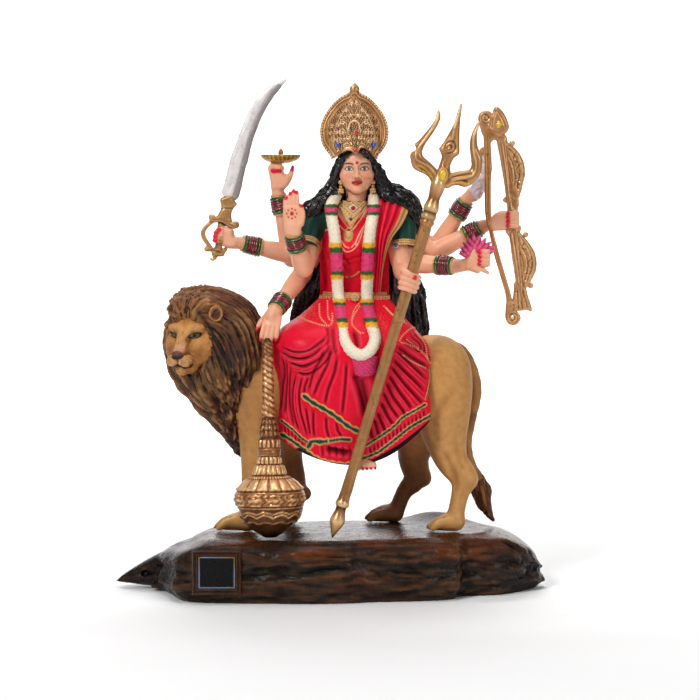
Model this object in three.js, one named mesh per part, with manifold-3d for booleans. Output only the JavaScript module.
// A painted resin figure of Durga: an eight-armed goddess in a red sari, seated sideways on a standing
// lion, on a rock base. Her sword, lotus dish, mace, trident, conch, bow and lotus are pieces of their own.
// Millimetres, +Z up, the figure faces -Y. The origin is on the underside of the base, under the figure.
import * as THREE from "three";
import { mergeVertices } from "three/addons/utils/BufferGeometryUtils.js";
import Module from "manifold-3d";

const wasm = await Module();
wasm.setup();

// Driving dimensions, in millimetres.
const OVERALL_HEIGHT = 300; // underside of the base to the sword's tip
const BASE_HEIGHT = 36; // underside of the base to the ground that the paws stand on
const CLEARANCE = 0.3; // between two pieces that touch
const WELD = 0.01; // edges shorter than this close up when pieces are joined
const SHAFT_DIAMETER = 6.8; // trident
const MACE_DIAMETER = 6.2; // mace, at its twisted shaft
const SWORD_GRIP = 4.6;
const BOW_GRIP = 4.8;
const STRING_WIDTH = 3.6;
const STEM_DIAMETER = 3; // lotus
const BLADE_THICKNESS = 2.2;
const CROWN_THICKNESS = 3.2;
const PLAQUE_WIDTH = 21;
const PLAQUE_HEIGHT = 18.4;
const PLAQUE_THICKNESS = 1.8;
const PLAQUE_INSET = 1; // how far the plaque's face lies behind its frame's
const FRAME_BORDER = 3.6; // moulded frame round the plaque
const FRAME_PROUD = 1.6; // how far the frame stands out of the rock

// The figure is free form. Its points and radii are drawn at a height of 264 units above the ground that
// the paws stand on, and UNIT is one of those units in millimetres.
const UNIT = (OVERALL_HEIGHT - BASE_HEIGHT) / 264;
const X = new THREE.Vector3(1, 0, 0);
const Y = new THREE.Vector3(0, 1, 0);
const Z = new THREE.Vector3(0, 0, 1);

const vec = (x, y, z) => new THREE.Vector3(x, y, z);
const mix = THREE.MathUtils.lerp;
const turn = (share) => share * 2 * Math.PI;
const towards = (from, way, distance) => from.clone().addScaledVector(way, distance);

// A closed surface through rings of equally many points, with a fan at each end.
function skin(rings) {
  const count = rings[0].length;
  const points = rings.flat();
  const index = [];
  for (const ring of [rings[0], rings.at(-1)]) {
    points.push(ring.reduce((sum, p) => sum.add(p), vec(0, 0, 0)).divideScalar(count));
  }
  const [first, last] = [points.length - 2, points.length - 1];
  const top = (rings.length - 1) * count;
  for (let j = 0; j < count; j++) {
    const next = (j + 1) % count;
    for (let i = 0; i < top; i += count) {
      index.push(i + j, i + next, i + count + next, i + j, i + count + next, i + count + j);
    }
    index.push(first, next, j, last, top + j, top + next);
  }
  return new THREE.BufferGeometry().setFromPoints(points).setIndex(index);
}

// A closed geometry as a solid with its faces pointing out.
function solid(geometry) {
  const bare = geometry.clone();
  for (const name of ["normal", "uv"]) bare.deleteAttribute(name);
  const merged = mergeVertices(bare, 1e-4);
  const vertProperties = merged.attributes.position.array;
  const triVerts = new Uint32Array(merged.index.array);
  const made = (faces) =>
    new wasm.Manifold(new wasm.Mesh({ numProp: 3, vertProperties, triVerts: faces, tolerance: WELD }));
  const first = made(triVerts);
  return first.volume() > 0 ? first : made(triVerts.reverse());
}

const join = (...solids) => solids.flat(Infinity).reduce((all, one) => all.add(one));

// The largest of the bodies that a cut leaves: the slivers beside it are dropped.
const main = (cut) => cut.decompose().reduce((a, b) => (a.volume() > b.volume() ? a : b));

// A tapered limb along a curve. A station is [x, y, z, a, b]: a point and two radii, b along `side` and a
// across it. `grow` widens it by a real distance, and `carve` gives a share of the radius round the limb.
function limb(stations, { sides = 6, side = Y, steps = stations.length - 1, grow = 0, carve } = {}) {
  const curve = new THREE.CatmullRomCurve3(stations.map(([x, y, z]) => vec(x, y, z)));
  const rings = [];
  for (let i = 0; i <= steps; i++) {
    const along = (i / steps) * (stations.length - 1);
    const from = Math.min(Math.floor(along), stations.length - 2);
    const [a, b] = [0, 1].map((n) => {
      const radius = (s) => s[3 + n] ?? s[3];
      return mix(radius(stations[from]), radius(stations[from + 1]), along - from) * UNIT;
    });
    const tangent = curve.getTangent(i / steps);
    const across = side.clone().cross(tangent).normalize();
    const deep = tangent.clone().cross(across).normalize();
    const centre = curve.getPoint(i / steps).multiplyScalar(UNIT);
    const ring = Array.from({ length: sides }, (_, j) => {
      const angle = turn(j / sides);
      const share = carve ? carve(angle, i / steps, i, j) : 1;
      const edge = towards(centre, across, Math.cos(angle) * (a * share + grow));
      return edge.addScaledVector(deep, Math.sin(angle) * (b * share + grow));
    });
    rings.push(ring);
  }
  return solid(skin(rings));
}

// A stack of level rings. A ring is [x, y, z, rx, ry], with a point at each of `angles`. `carve` gives a
// share of the radius and a rise in z at point j of ring i.
function stack(levels, { angles = ringAngles(5, 0), grow = 0, carve = () => [1, 0] } = {}) {
  const rings = levels.map(([x, y, z, rx, ry], i) => {
    const cap = i === levels.length - 1 ? grow : i === 0 ? -grow : 0;
    return angles.map((angle, j) => {
      const [share, rise] = carve(angle, i, j);
      return vec(
        x * UNIT + Math.cos(angle) * (rx * UNIT * share + grow),
        y * UNIT + Math.sin(angle) * (ry * UNIT * share + grow),
        (z + rise) * UNIT + cap,
      );
    });
  });
  return solid(skin(rings));
}

// Angles round a ring: `dense` steps over the half turn that begins at `start`, `sparse` over the rest.
function ringAngles(dense, start, sparse = dense) {
  const fine = Array.from({ length: dense }, (_, j) => turn(start + (0.5 * j) / dense));
  return [...fine, ...Array.from({ length: sparse }, (_, j) => turn(start + 0.5 + (0.5 * j) / sparse))];
}

// Carving of ridges and grooves, one of each to every two points of a ring.
const ridges = (depth, shift = 0) => (_angle, i, j) => [1 + ((j + shift * i) % 2 ? depth : -depth), 0];

// A turned piece: its profile is [radius, height] in units, stood at a point and tipped to an axis.
function turned(profile, at, axis = Z, { sides = 8, grow = 0 } = {}) {
  const points = profile.map(([r, h]) => new THREE.Vector2(r * UNIT + (r ? grow : 0), h * UNIT));
  const geometry = new THREE.LatheGeometry(points, sides).rotateX(Math.PI / 2);
  geometry.applyQuaternion(new THREE.Quaternion().setFromUnitVectors(Z, axis.clone().normalize()));
  return solid(geometry.translate(...at.clone().multiplyScalar(UNIT).toArray()));
}

const ball = (at, radii, sides = 5) =>
  solid(
    new THREE.SphereGeometry(1, sides, Math.max(3, sides - 2))
      .rotateX(Math.PI / 2)
      .scale(...radii.map((r) => r * UNIT))
      .translate(...at.map((c) => c * UNIT)),
  );

// Four fingers or toes side by side, as one solid. A row is [centre, across, out, half width, height of the
// valleys, height of the ridges over them, depth of the flat side].
function digits(rows) {
  const rings = rows.map(([centre, across, out, half, valley, ridge, under]) => {
    const at = (share, up) => towards(towards(centre, across, share * half), out, up).multiplyScalar(UNIT);
    const ridged = Array.from({ length: 9 }, (_, k) => at(k / 4 - 1, valley + (k % 2 ? ridge : 0)));
    return [...ridged, at(1, -under), at(-1, -under)];
  });
  return solid(skin(rings));
}

// A plate cut to an outline of [x, z] points in units, `thick` millimetres deep, with its middle at y.
function plate(outline, y, thick) {
  const shape = new THREE.Shape(outline.map(([x, z]) => new THREE.Vector2(x * UNIT, z * UNIT)));
  const geometry = new THREE.ExtrudeGeometry(shape, { depth: thick, bevelEnabled: false });
  return solid(geometry.rotateX(Math.PI / 2).translate(0, y * UNIT + thick / 2, 0));
}

const box = (size, at) => solid(new THREE.BoxGeometry(...size).translate(...at));

// Round rods of a real diameter, through points in units.
const rod = (points, diameter, options = {}) =>
  limb(points.map((p) => [...p, diameter / 2 / UNIT]), { sides: 8, ...options });

// The rock base

// The plaque's place on the rock's front face.
const PLAQUE_X = -75.4 * UNIT;
const PLAQUE_Z = -BASE_HEIGHT / 2 + 0.4;
const FRAME_FACE = -60.5 * UNIT - FRAME_PROUD;
const DEPTH = BASE_HEIGHT / UNIT;

// Depth of the rock's rim below the ground, over its length: it falls away to a point at both ends.
const rimDepth = (x) =>
  DEPTH * (0.1 + 0.22 * Math.max(0, (-x - 80) / 30) + 0.64 * Math.max(0, (x - 84) / 33) ** 1.4);

function base() {
  const plan = [
    [-114, -12], [-109, -30], [-100, -52], [-84, -59], [-58, -61], [-30, -62], [-4, -61], [16, -56],
    [42, -53], [62, -47], [69, -36], [92, -30], [109, -15], [117, 0], [105, 16], [90, 29], [78, 38],
    [54, 44], [20, 40], [-20, 38], [-56, 33], [-84, 20], [-104, 3],
  ];
  const curve = new THREE.CatmullRomCurve3(plan.map(([x, y]) => vec(x, y, 0)), true);
  const outline = curve.getSpacedPoints(30).slice(1);
  const middle = vec(-10, -6, 0);
  // Each level of the rock: its share of the outline, and how far it is up to the rim (1) or past it (2).
  const levels = [[0.94, 0], [1, 0.3], [0.96, 0.62], [0.99, 0.8], [0.96, 1], [0.8, 1.85], [0.45, 2]];
  const rings = levels.map(([share, up], i) =>
    outline.map((p, j) => {
      const craggy = i > 0 && i < 5 ? 0.012 * Math.sin(j * 2.3 + i) + 0.008 * Math.sin(j * 0.83 - 2 * i) : 0;
      const at = middle.clone().lerp(p, share + craggy);
      const ends = THREE.MathUtils.smoothstep(Math.abs(at.x), 74, 104);
      const hump = up >= 1 ? 6 * Math.exp(-((at.x - 54) ** 2 + (at.y - 40) ** 2) / 400) : 0;
      const z = up <= 1 ? mix(-DEPTH, -rimDepth(p.x), up) : -rimDepth(at.x) * mix(2 - up, 1, ends);
      return vec(at.x, at.y, z + hump).multiplyScalar(UNIT);
    }),
  );
  const point = (x, y, share, a, b) => [x, y, -DEPTH * share, a, b];
  const spike = limb([
    point(-98, -4, 0.61, 13, 15), point(-116, -3, 0.735, 8.5, 10), point(-130, -1, 0.83, 4, 5),
    point(-139, 0, 0.9, 0.5, 0.5),
  ]);
  const spur = limb([
    point(-100, -12, 0.86, 4, 8), point(-110, -14, 0.9, 3, 5), point(-116, -14, 0.915, 1, 1.5),
  ]);
  const frameWidth = PLAQUE_WIDTH + 2 * FRAME_BORDER;
  const frameHeight = PLAQUE_HEIGHT + 2 * FRAME_BORDER;
  const frame = box([frameWidth, 16, frameHeight], [PLAQUE_X, FRAME_FACE + 8, PLAQUE_Z]);
  const recessDepth = PLAQUE_INSET + PLAQUE_THICKNESS + CLEARANCE;
  const recess = box(
    [PLAQUE_WIDTH + 2 * CLEARANCE, 2 * recessDepth, PLAQUE_HEIGHT + 2 * CLEARANCE],
    [PLAQUE_X, FRAME_FACE, PLAQUE_Z],
  );
  return join(solid(skin(rings)), spike, spur, frame).subtract(recess);
}

const plaque = () =>
  box(
    [PLAQUE_WIDTH, PLAQUE_THICKNESS, PLAQUE_HEIGHT],
    [PLAQUE_X, FRAME_FACE + PLAQUE_INSET + PLAQUE_THICKNESS / 2, PLAQUE_Z],
  );

// The lion

// A paw with four toes, pointing to -X.
function paw(x, y, grow) {
  const wider = grow / UNIT;
  const profile = [[9, 7, 8, 0], [1, 7.4, 7.6, 0], [-8.5, 8, 4.2, 1.5], [-12.5, 6.6, 1.4, 0.8]];
  const across = vec(0, 1, 0);
  return digits(
    profile.map(([along, half, height, ridge]) => {
      const centre = vec(x + along + Math.sign(along) * wider, y, 0);
      return [centre, across, Z, half + wider, height + wider, ridge, 1 + wider];
    }),
  );
}

// The whole lion, widened by `grow` so that it can also cut its own seat in the goddess.
function lionSolid(grow = 0) {
  const trunk = limb(
    [[-74, 0, 90, 20, 16], [-56, 0, 85, 30, 22], [-30, 0, 83, 29, 23], [0, 0, 82, 27, 22],
      [30, 0, 83, 26, 21], [52, 1, 85, 26, 21], [66, 1, 82, 20, 17], [74, 2, 80, 8, 8]],
    { sides: 10, grow },
  );
  const nearHind = limb(
    [[52, -8, 92, 18, 14], [56, -12, 72, 19, 14], [59, -15, 52, 14, 11], [63, -16, 38, 10, 8],
      [67, -16, 29, 8.4, 7], [63.5, -16, 16, 5.6, 6], [62, -17, 6, 6, 6.5]],
    { sides: 8, grow },
  );
  const farHind = limb(
    [[48, 10, 84, 20, 12], [43, 14, 62, 14, 11], [38, 18, 43, 10, 8], [39, 19, 30, 8, 7],
      [31, 19, 18, 5.6, 6], [26, 19, 7, 6, 6]],
    { grow },
  );
  const nearFore = limb(
    [[-52, -8, 82, 18, 14], [-54, -12, 58, 12, 11], [-55.5, -15, 36, 8.6, 8], [-57, -15, 16, 7.4, 7.6],
      [-60, -15, 6, 7, 7.6]],
    { grow },
  );
  const farFore = limb(
    [[-40, 8, 80, 18, 12], [-37, 14, 56, 10, 10], [-35.5, 18, 38, 7.6, 8], [-33, 18, 24, 7.4, 7.6],
      [-33, 18, 14, 7, 7.4], [-35, 18, 6, 7, 7.4]],
    { grow },
  );
  const paws = [[57, -18], [21, 19], [-67, -16], [-42, 18]].map(([x, y]) => paw(x, y, grow));
  const mane = stack(
    [[-66, -2, 43, 1.5, 2], [-69, -3, 51, 7, 9], [-72, -4, 62, 14.5, 15], [-77, -5, 78, 23.5, 22],
      [-77, -5, 92, 31, 26], [-76, -5, 106, 34, 28], [-76, -5, 119, 32, 26], [-81, -5, 132, 23, 20],
      [-84, -4, 141.6, 9, 8]],
    { angles: ringAngles(10, 0), grow, carve: ridges(0.05, 1) },
  );
  const tail = limb(
    [[56, 2, 107, 5, 4], [66, 3, 102, 4, 4], [72.5, 4, 90, 3.6, 3.6], [74.4, 5, 78, 3.3, 3.4],
      [71.4, 6, 62, 3, 3], [69.4, 7, 48, 2.8, 2.8], [72, 9, 36, 2.8, 2.8], [77.5, 11, 26, 3.4, 3.4],
      [79.5, 12, 14, 4.6, 4.4], [84.5, 12, 4.5, 1.4, 1.4]],
    { sides: 5, grow },
  );
  return join(trunk, nearHind, farHind, nearFore, farFore, paws, mane, tail, lionHead(grow));
}

// The head turns to the front and to the lion's right: its nose points along `forward`. The mane covers
// the ear on the far side.
function lionHead(grow) {
  const forward = vec(-0.42, -0.9, -0.06).normalize();
  const left = vec(0.9, -0.42, 0).normalize();
  const brow = vec(-97, -26, 116);
  const from = (ahead, across, up) => towards(towards(towards(brow, forward, ahead), left, across), Z, up);
  const part = (stations, sides = 5) =>
    limb(stations.map(([ahead, up, a, b, across = 0]) => [...from(ahead, across, up).toArray(), a, b]), {
      sides, side: left, grow,
    });
  const lump = (ahead, across, up, radii) => ball(from(ahead, across, up).toArray(), radii);
  const skull = part(
    [[-24, -4, 10, 10], [-14, -4, 16, 16], [-4, -4, 15, 15], [1.5, -7, 10.5, 11], [6, -9.5, 7.6, 8.6],
      [12, -11, 6, 7.4], [13.8, -11.5, 3, 4]],
    8,
  );
  const bridge = part([[-2, 4, 3, 4], [5, -2, 3, 3.6], [13, -7.4, 2.2, 3.6]]);
  const jaw = part([[-8, -18, 6, 9], [4, -20, 5, 6.5], [9, -19.5, 3, 4.5]]);
  const jowls = [-3.6, 3.6].map((n) => lump(10, n, -13, [4.6, 4.6, 4.4]));
  const brows = [-6.5, 6.5].map((n) => lump(-1, n, 2.4, [4.8, 4.8, 2.6]));
  const ear = part([[-10, 3, 3, 5, 14], [-6, 9, 3, 6.4, 17], [-5, 15.5, 1.6, 3, 17]]);
  return join(skull, bridge, jaw, jowls, brows, ear);
}

// The goddess: hands and arms

// An open hand from the wrist: `forward` is where the fingers point and `palm` is the way the palm faces.
// The thumb is on the side that `thumb` gives (1 or -1), and `curl` bends the fingers to the palm.
function openHand(wrist, forward, palm, { thumb = 1, curl = 0.1, length = 11 } = {}) {
  const ahead = forward.clone().normalize();
  const across = ahead.clone().cross(palm).normalize();
  const facing = across.clone().cross(ahead).normalize();
  const from = (f, a, p) => towards(towards(towards(wrist, ahead, f), across, a), facing, p);
  const rows = [
    [0, 0, 3, 1.6, 0, 2], [8, 0, 5.4, 1.8, 0, 2], [12 + length * 0.4, curl * 3.4, 5, 0.6, 1.1, 1],
    [12 + length, curl * 11, 3.6, 0.3, 0.6, 0.5],
  ];
  const slab = digits(rows.map(([f, p, ...sizes]) => [from(f, 0, p), across, facing, ...sizes]));
  const bones = [[3, 3, 0.4, 2], [7.5, 5.8, 1.2, 1.7], [12.5, 7.2, 1.6, 1]];
  const digit = bones.map(([f, a, p, r]) => [...from(f, a * thumb, p).toArray(), r]);
  return [slab, limb(digit, { sides: 4, side: facing })];
}

// A fist closed round a rod of a real diameter that runs along `axis`: four ridged fingers and the palm.
function fist(wrist, grip, axis, diameter) {
  const radius = diameter / 2 / UNIT;
  const ridged = [-3, -2, -1, 0, 1, 2, 3].map((k) => [radius + (k % 2 ? 2.8 : 1.9), k * 1.3]);
  const fingers = turned([[0, -5.2], ...ridged, [0, 5.2]], grip, axis, { sides: 6 });
  const reach = grip.clone().sub(wrist);
  const side = axis.clone().cross(reach).normalize();
  const bones = [[0, 2.8, 2.6], [0.5, 4.2, 3.6], [0.9, 4.4, 3.2]].map(([share, a, b]) => [
    ...towards(wrist, reach, share).toArray(), a, b,
  ]);
  return [fingers, limb(bones, { side })];
}

// An arm from the shoulder through the elbow to the wrist. Its bangles are a cuff with a ridge at each end,
// just before the wrist: a row there is its distance from the wrist and its radius.
function arm(shoulder, elbow, wrist) {
  const back = elbow.clone().sub(wrist).normalize();
  const cuff = [[12.4, 4.2], [11.2, 5], [6.5, 4.2], [1.6, 4.9], [0, 3]];
  const bones = [[shoulder, 6.4], [shoulder.clone().lerp(elbow, 0.55), 6], [elbow, 5.4]];
  const stations = [...bones, ...cuff.map(([distance, radius]) => [towards(wrist, back, distance), radius])];
  return limb(stations.map(([p, r]) => [...p.toArray(), r]), { sides: 5 });
}

// Where each hand holds its emblem, in units.
const SWORD = { grip: vec(-77, 5, 170), axis: vec(-0.32, 0, -1), wrist: vec(-64, 5, 167) };
const BOW = { grip: vec(92.3, -8, 180), axis: vec(0.18, 0, -1), wrist: vec(77.5, 2, 176.5) };
const LOTUS = { grip: vec(74.4, -17, 155.3), axis: vec(0, 0, 1), wrist: vec(61, -13.4, 154) };
const DISH = vec(-40.4, 6, 215.5);
const CONCH = { at: vec(76.4, 1, 209), axis: vec(0.2, 0, 1) };
const TRIDENT = { foot: vec(-10.2, -52, 0.8), top: vec(52.1, -42.6, 208.4), grip: 0.697 };
const MACE = { foot: vec(-45.4, -47, 0.5), top: vec(-47.2, -38, 114) };

function arms() {
  const grip = TRIDENT.foot.clone().lerp(TRIDENT.top, TRIDENT.grip);
  const shaft = TRIDENT.top.clone().sub(TRIDENT.foot);
  const right = vec(-14, 4, 178);
  const left = vec(22, 4, 178);
  const wrists = [
    vec(-42.3, 8, 196), vec(-32.7, -27, 174), vec(-43.5, -24, 128.6), vec(34, -30, 147), vec(68.5, 6, 192.5),
  ];
  return [
    arm(right, vec(-37, 12, 160.5), SWORD.wrist),
    fist(SWORD.wrist, SWORD.grip, SWORD.axis, SWORD_GRIP),
    arm(right, vec(-34.5, 16, 158), wrists[0]),
    openHand(wrists[0], vec(0.05, -0.1, 1), vec(-0.2, -1, 0.2), { curl: -0.1, length: 5 }),
    arm(vec(-18, 0, 178), vec(-27, -15, 153), wrists[1]),
    openHand(wrists[1], vec(0.02, -0.12, 1), vec(0, -1, -0.1)),
    arm(vec(-17, 5, 172), vec(-28, 5, 149), wrists[2]),
    openHand(wrists[2], vec(-0.28, -0.8, -0.9), vec(0.2, -0.35, -1), { thumb: -1, curl: 0.55 }),
    arm(vec(24, 0, 178), vec(31, -9, 151), wrists[3]),
    fist(wrists[3], grip, shaft, SHAFT_DIAMETER),
    arm(left, vec(51, 14, 163), wrists[4]),
    openHand(wrists[4], vec(0.3, -0.05, 1), vec(0.3, -1, 0.1), { curl: 0.3, length: 9 }),
    arm(left, vec(49, 6, 161), BOW.wrist),
    fist(BOW.wrist, BOW.grip, BOW.axis, BOW_GRIP),
    arm(vec(24, 2, 172), vec(38, 0, 155), LOTUS.wrist),
    fist(LOTUS.wrist, LOTUS.grip, LOTUS.axis, STEM_DIAMETER),
  ];
}

// The goddess: body, dress, hair and crown

function headAndTorso() {
  const torso = stack([
    [2.5, -4, 118, 24, 17], [2.5, -2, 137, 17.2, 12], [2.5, -2, 152, 17, 12], [2.5, -4.5, 165, 19.6, 14.5],
    [2.5, -1, 175, 21, 11], [2.8, 0, 185, 18, 8.4], [3.3, 0, 190, 8, 6.6], [3.8, 0, 199, 5.6, 5.6],
  ]);
  const head = stack([
    [4, -5.5, 194.6, 2.5, 2.5], [4, -4.4, 196.4, 6, 6], [4, -2.6, 201, 9, 9], [4, -1, 208, 10.4, 11],
    [4, 0, 215, 10.2, 11], [4, 1, 221, 8, 9],
  ]);
  const nose = limb([[4, -11, 211, 0.8], [4, -13.2, 205.6, 1.5], [4, -11, 204, 1]], { sides: 4, side: X });
  const necklace = stack([[3.4, -3, 178, 11, 11], [3.4, -3, 183, 11.6, 10.4], [3.6, -1, 190, 8.6, 8.6]], {
    angles: ringAngles(4, 0),
  });
  // The sleeves, each with an armlet at its hem.
  const sleeves = [
    [[-13, 1, 183, 8], [-21, -3, 177, 8.6], [-24.5, -10, 167.5, 7.2], [-25.2, -12.4, 163.5, 7.4]],
    [[20, 1, 183, 8], [30, -1, 178, 8.2], [31, -5, 168, 7.2], [31, -6.4, 164, 7.4]],
  ];
  return [torso, head, nose, necklace, sleeves.map((route) => limb(route, { sides: 7 }))];
}

// The skirt: pleats that start below the lap and deepen to the hem, which is lowest at the front and
// rises to both sides.
function skirt() {
  const levels = [
    [2, -31.5, 50, 44, 12.5], [2.5, -31, 62, 44, 12.5], [2.5, -29, 76, 43, 15], [2, -24, 91, 44, 21],
    [0.5, -16, 106, 46.5, 26.5], [1, -11, 117, 38, 25], [2.8, -3, 136.5, 20.5, 14.5],
  ];
  const hem = (angle) => {
    const x = Math.cos(angle);
    return x * x * (x > 0 ? 24.5 : 15.5) - 8.5;
  };
  return stack(levels, {
    angles: ringAngles(32, 0.5, 5),
    carve: (angle, i, j) => {
      const depth = 0.05 * Math.max(0, 1 - i / 4) * (j < 32 ? 1 : 0);
      return [1 + (j % 2 ? depth : -depth), [1, 0.55, 0.15][i] * hem(angle) || 0];
    },
  });
}

// The free end of the sari: a pleated panel between the knees, with its lower edge cut on a slant.
function frontPanel() {
  const rows = [[110, -10, 17, -41], [96, -17, 14, -44.5], [75, -25.5, 8, -46.5]];
  const folds = 12;
  const rings = rows.map(([z, from, to, y], i) => {
    const face = Array.from({ length: folds }, (_, j) => {
      const share = j / (folds - 1);
      return vec(mix(from, to, share), y - (j % 2 ? 1.4 : 0), z - (i === 2 ? 17 * share : 0));
    });
    return [...face, vec(to, y + 12, z), vec(from, y + 12, z)].map((p) => p.multiplyScalar(UNIT));
  });
  return solid(skin(rings));
}

// Her toes, below the hem.
const feet = () =>
  limb([[6, -30, 46, 3.4, 4], [9, -38, 42.6, 3, 4.2], [9.6, -44, 40.6, 1.8, 3.6]], { side: X });

// The garland of flowers: down over the bust and lap on both sides, and its tassel.
function garland() {
  const route = [
    [-8, 0, 195], [-11, -12, 189], [-10.4, -16, 183], [-8.7, -18.5, 172], [-7.5, -18.5, 157],
    [-7, -15.5, 141], [-5.6, -19, 132], [-4.4, -28, 122], [-2.9, -37, 112.7], [1.3, -43, 106.4],
    [6.8, -44.4, 104.4], [12, -43, 107.6], [14.3, -37.5, 114], [11.5, -28, 123.5], [9.9, -19.5, 133],
    [9.8, -15.5, 143], [10.4, -18.5, 159], [11.5, -18.5, 175], [13.2, -14, 185], [14, -2, 194.5],
  ];
  const flowers = (_angle, t, i) => (i % 2 ? 1.1 : 0.92);
  const strand = limb(route.map((p) => [...p, 3.4]), { sides: 5, steps: 23, carve: flowers });
  return [strand, limb([[6.4, -44, 103, 4.8, 3], [6.6, -45, 95, 5, 3.4], [6.8, -45, 87.5, 3.6, 2.4]])];
}

const belt = () =>
  stack([[2.5, -2.6, 132.4, 22.4, 15.6], [2.6, -2.6, 135, 23.4, 16.4], [2.6, -2.4, 138, 20.4, 14.4]]);

// Hair: a wavy mass behind the back, down to the lion, and a lock over each shoulder.
function hair() {
  const cape = stack(
    [[9, 19, 108.5, 36, 6], [6.5, 19, 116, 42.5, 8.5], [6, 18, 136, 38.5, 9.5],
      [6, 15, 160, 33.5, 9.5], [5.6, 12, 184, 32, 9.5], [4.4, 8, 196, 20, 9.5],
      [4, 5, 208, 14.4, 11.5], [4, 3, 222, 10, 9]],
    { angles: ringAngles(16, 0, 3), carve: ridges(0.045) },
  );
  const locks = [
    [[-6, -6, 218, 5], [-9, -6, 206, 4.4], [-14, -3, 198, 5], [-23.6, -4, 185, 4.8], [-26, 2, 170, 3.4]],
    [[14, -6, 218, 5], [16.5, -6, 206, 4.6], [21, -3, 198, 5.4], [37, -1, 186, 5], [39.5, 4, 172, 3.6]],
  ];
  return [cape, locks.map((route) => limb(route, { sides: 5 }))];
}

// The crown: a drop-shaped plate with a beaded rim behind a carved dome and a front band of gems.
function crown() {
  const half = [
    [0, 257], [3, 253.5], [11, 247.5], [16.6, 239.5], [19.4, 230.5], [18.6, 221.5], [14.6, 214], [0, 214],
  ];
  const curve = new THREE.SplineCurve(half.map(([x, z]) => new THREE.Vector2(x, z)));
  const side = curve.getSpacedPoints(24).map(({ x, y }, i) => {
    const bead = i > 2 && i < 19 && i % 2 ? 1.035 : 1;
    return [x * bead, 230 + (y - 230) * bead];
  });
  const mirrored = side.slice(1, -1).reverse().map(([x, z]) => [-x, z]);
  const outline = [...side, ...mirrored].map(([x, z]) => [x + 2.5, z]);
  const dome = stack(
    [[3, -2, 213, 13.2, 13], [3, -2.6, 217, 14.2, 13.6], [3, -1.4, 228, 13.6, 11.8], [2.8, 0, 239, 10.4, 8.8],
      [2.6, 1.4, 252, 3, 3]],
    { angles: ringAngles(7, 0), carve: ridges(0.025) },
  );
  const settings = [
    [3, -16, 216.5, 1.8], [-7, -11.6, 222, 1.8], [13, -11.6, 222, 1.8], [3, -13.6, 231.5, 1.6],
  ];
  const gems = settings.map(([x, y, z, r]) => ball([x, y, z], [r, r, r * 1.3]));
  const profile = [[0, 0], [3.4, 0], [2, 2.6], [2.9, 5], [0, 8.2]];
  const finial = turned(profile, vec(2.4, 2.4, 251.5), Z, { sides: 6 });
  return [plate(outline, 3, CROWN_THICKNESS), dome, finial, gems];
}

// The emblems

// A sabre: a blade with a ridge, and a hilt with a curled guard, a knuckle bow and a pommel.
function sword(grow = 0) {
  const y = SWORD.grip.y;
  const flat = (points, sides = 5) => limb(points.map(([x, z, a, b]) => [x, y, z, a, b ?? a]), { sides });
  const grip = rod([[-73.4, y, 179.2], [-81, y, 160.4]], SWORD_GRIP, { sides: 6, grow });
  if (grow) return grip;
  const spine = [
    [-70.7, 193.6, 4.6], [-68, 203.8, 5.3], [-65, 215.5, 5.3], [-60.9, 228.8, 4.8], [-55.4, 242.4, 4.3],
    [-48.7, 252.8, 3.9], [-42.8, 258.6, 2.4], [-36.4, 263.4, 0.3],
  ];
  const half = BLADE_THICKNESS / 2 / UNIT;
  const blade = flat(spine.map(([x, z, width], i) => [x, z, width, i < 7 ? half : 0.3]), 4);
  const socket = flat([
    [-70.6, 195.5, 4, 2.4], [-71, 191, 5, 3], [-71.6, 185, 2.8, 2.4], [-72.4, 179.4, 3.4, 2.8],
  ]);
  const guard = flat([
    [-64.6, 175.8, 1.6], [-68, 178, 2.1], [-74, 180, 2.2], [-80.5, 179.6, 1.6], [-85.4, 176, 1.6],
    [-87.6, 170.6, 1.6], [-86.6, 165, 1.6], [-82, 160.6, 2.4], [-77.6, 161.4, 1.8],
  ]);
  const curl = flat([[-81, 160, 2.4], [-81.6, 157, 1.8], [-83.8, 155.4, 1.3]]);
  return join(grip, blade, socket, guard, curl);
}

// A shallow dish with a scalloped rim and a knob, on the raised finger tips.
function dish(grow = 0) {
  const { x, y, z } = DISH;
  const levels = [[-3.6, 5], [-2.6, 7.4], [0, 10.5], [1.2, 6]].map(([up, r]) => [x, y, z + up, r, r]);
  const bowl = stack(levels, {
    angles: ringAngles(12, 0), grow, carve: (_angle, i, j) => [i === 2 && j % 2 ? 1.06 : 1, 0],
  });
  if (grow) return bowl;
  const profile = [[0, 0], [1.7, 0], [1.2, 2.2], [1.6, 3.2], [0, 5]];
  return join(bowl, turned(profile, vec(x, y, z + 0.8), Z, { sides: 6 }));
}

// The mace stands on the ground: a ribbed head, a fluted neck and a twisted shaft.
function mace(grow = 0) {
  const shaft = MACE_DIAMETER / 2 / UNIT;
  const axis = MACE.top.clone().sub(MACE.foot);
  const length = axis.length();
  const profile = [
    [0, 0], [6, 0], [7, 3.6], [15, 9.4], [19.4, 18.6], [18.8, 20.2], [20.6, 22.4], [20.4, 25.4],
    [19.4, 28.6], [11.4, 37.4], [9.6, 38], [5.6, 44.4], [6.8, 47.6], [5.2, 49.4], [5.4, 66],
    [shaft, 68.4], [shaft, 70], [0, 70],
  ];
  const body = turned(profile, MACE.foot, axis, { sides: 11, grow });
  const levels = [0.58, 0.97].map((share) => [...MACE.foot.clone().lerp(MACE.top, share).toArray(), shaft]);
  const strands = (_angle, _t, i, j) => (grow || (i + j) % 2 ? 1.08 : 0.92);
  const twist = limb(levels, { steps: 8, grow, carve: strands });
  const knob = [[0, 0], [shaft, 0], [shaft + 1, 2], [shaft - 0.2, 4.2], [0, 5]];
  const under = MACE.foot.clone().lerp(MACE.top, 1 - 5 / length);
  return join(body, twist, turned(knob, under, axis, { sides: 6, grow }));
}

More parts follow.
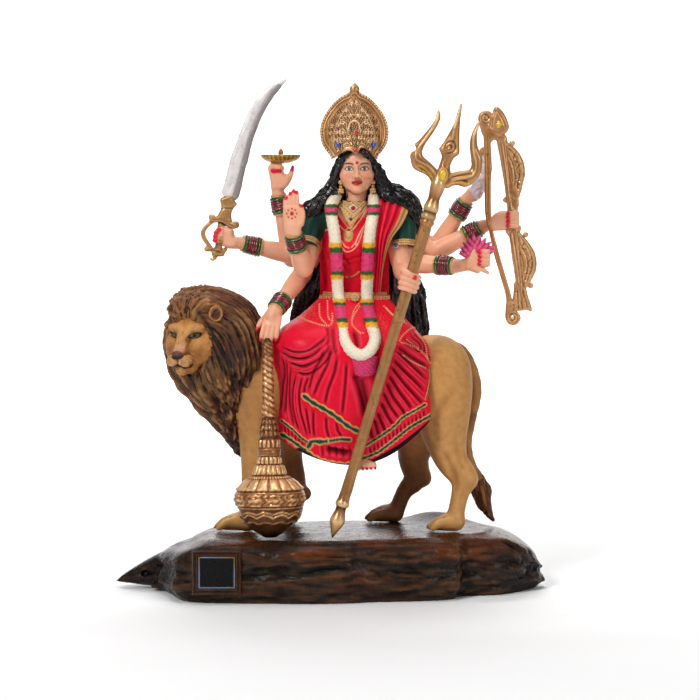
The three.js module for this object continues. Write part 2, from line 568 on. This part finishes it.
// The trident: a straight shaft with a knob at its foot, and three prongs over a gem.
function trident(grow = 0) {
  const shaft = SHAFT_DIAMETER / 2 / UNIT;
  const axis = TRIDENT.top.clone().sub(TRIDENT.foot);
  const length = axis.length();
  const profile = [
    [0, 0], [1.4, 3.6], [5.2, 8.6], [5.2, 11.6], [3.4, 15], [3.2, 21.4], [4.1, 22.4], [shaft, 24.8],
    [shaft, length - 39], [4.3, length - 36], [5, length - 31], [3, length - 24], [5, length - 12],
    [0, length - 4],
  ];
  const body = turned(profile, TRIDENT.foot, axis, { sides: 7, grow });
  if (grow) return body;
  const y = TRIDENT.top.y;
  const prong = (points, sides = 5) => limb(points.map(([x, z, a, b]) => [x, y, z, a, b ?? a]), { sides });
  const left = prong([
    [53, 204, 3.6], [45.6, 208.6, 3.2], [38.4, 209.8, 3.2], [34.8, 215.4, 3], [37.6, 222.4, 2.2],
    [44.6, 230, 1.9], [49.8, 243.2, 0.3],
  ]);
  const right = prong([
    [52, 204, 3.6], [60.6, 208.8, 3.2], [67.6, 208.2, 3.2], [71.8, 213.6, 3], [70, 222, 2.4],
    [73.4, 238, 0.3],
  ]);
  const middle = prong([
    [53, 206, 2.6, 2.4], [54.8, 214, 2.4, 2.2], [56.2, 220.4, 5.6, 2.4], [57.6, 228, 3.2, 1.8],
    [62.7, 247, 0.3, 0.3],
  ], 4);
  return join(body, left, right, middle, ball([52.2, y - 2.2, 208], [3.4, 3, 5], 6));
}

// A conch, narrow end down.
function conch(grow = 0) {
  const profile = [
    [0, -12], [1.6, -10.4], [4.2, -5], [4.8, -1], [3.6, 3], [3.8, 4.4], [2.4, 8], [2.6, 9.4], [0, 14],
  ];
  return turned(profile, CONCH.at, CONCH.axis, { grow });
}

// The bow: a straight limb with leafy swellings on its back, a drawn string, and a leaf and scrolls at
// its tips.
function bow(grow = 0) {
  const y = BOW.grip.y;
  const flat = (points, b) => limb(points.map(([x, z, r]) => [x, y, z, r, b ?? r]), { sides: 5, grow });
  const held = BOW_GRIP / 2 / UNIT;
  const limbs = flat([
    [84.6, 246, 0.6], [86.3, 238, 5.8], [84.8, 229, 2.8], [88.8, 203.8, held], [92.3, 182, held],
    [95.4, 163, held], [98.4, 143, 3.2], [101.6, 128, 7],
  ], held);
  if (grow) return limbs;
  const half = STRING_WIDTH / 2 / UNIT;
  const string = flat([
    [82, 242, 1.8], [78, 240, 2.2], [77.6, 235, 2.2], [79.4, 231, half], [80, 204, half], [80.8, 172, half],
    [86.8, 151.6, half], [93.6, 130, half], [93, 126, 2.2], [94.4, 122.2, 2], [98.6, 122, 1.8],
  ]);
  const upper = flat([[88.6, 226, 1.6], [93.8, 217, 3.8], [96.2, 208, 4.6], [93.6, 192, 1.6]], 2.4);
  const lower = flat([[95.8, 173, 1.8], [101.8, 164, 4.8], [103.2, 154, 5.4], [100.6, 140, 1.8]], 2.8);
  const gem = ball([86.2, y - 2.2, 236.4], [2.6, 2, 2.6]);
  const webs = [flat([[92, 131, 1.8], [100, 131, 2.6]]), flat([[79, 230.6, 1.8], [87, 229, 2.4]])];
  return join(limbs, string, upper, lower, gem, webs);
}

// The lotus: two cups of pointed petals over its stem.
function lotus() {
  const { x, y } = LOTUS.grip;
  const z = 161.5;
  const stem = rod([[x, y, 148.6], [x, y, z + 1.6]], STEM_DIAMETER);
  const cup = (reach, height, count) => {
    const levels = [[0, 0, 3], [-0.8, 0.4, reach * 0.8], [-0.8, 1, reach]];
    return stack(levels.map(([shift, up, r]) => [x + shift, y, z + height * up, r, r]), {
      angles: ringAngles(count, 0),
      carve: (_angle, i, j) => (i === 2 && j % 2 ? [0.72, -height * 0.5] : [1, 0]),
    });
  };
  return join(stem, cup(8.6, 5, 7), cup(6.2, 9.4, 5));
}

// Assembly

const paint = (color, roughness = 0.45, metalness = 0) =>
  new THREE.MeshStandardMaterial({ color, roughness, metalness });
const gold = paint("#b08a4c", 0.38, 0.5);

function mesh(name, shape, material) {
  const { vertProperties, triVerts } = shape.getMesh();
  const geometry = new THREE.BufferGeometry()
    .setAttribute("position", new THREE.BufferAttribute(vertProperties, 3))
    .setIndex(new THREE.BufferAttribute(triVerts, 1));
  const made = new THREE.Mesh(geometry, material);
  made.name = name;
  return made;
}

const rock = base();
const raised = rock.translate([0, 0, CLEARANCE]);
const dressed = [headAndTorso(), skirt(), frontPanel(), feet(), garland(), belt()];
const seated = join(dressed, hair(), crown(), arms());
const stemEnds = [-15, 17].map((up) => towards(LOTUS.grip, Z, up).toArray());
const stemHole = rod(stemEnds, STEM_DIAMETER, { grow: CLEARANCE });
const held = [sword, dish, mace, trident, conch, bow].map((emblem) => emblem(CLEARANCE));
const goddess = main(seated.subtract(join(lionSolid(CLEARANCE), held, stemHole)));

const figure = new THREE.Group();
figure.add(
  mesh("base", rock, paint("#3a2a20", 0.4)),
  mesh("plaque", plaque(), paint("#0b0c10", 0.25)),
  mesh("lion", main(lionSolid().subtract(raised)), paint("#a9793f", 0.5)),
  mesh("goddess", goddess, paint("#c8142e", 0.4)),
  mesh("sword", sword(), paint("#b9b2b2", 0.35, 0.6)),
  mesh("lotus_dish", dish(), gold),
  mesh("mace", mace().subtract(raised), gold),
  mesh("trident", trident().subtract(raised), gold),
  mesh("conch", conch(), paint("#e9dfe4", 0.4)),
  mesh("bow", bow(), gold),
  mesh("lotus", lotus(), paint("#d8456f", 0.5)),
);
figure.position.z = BASE_HEIGHT;

export default figure;
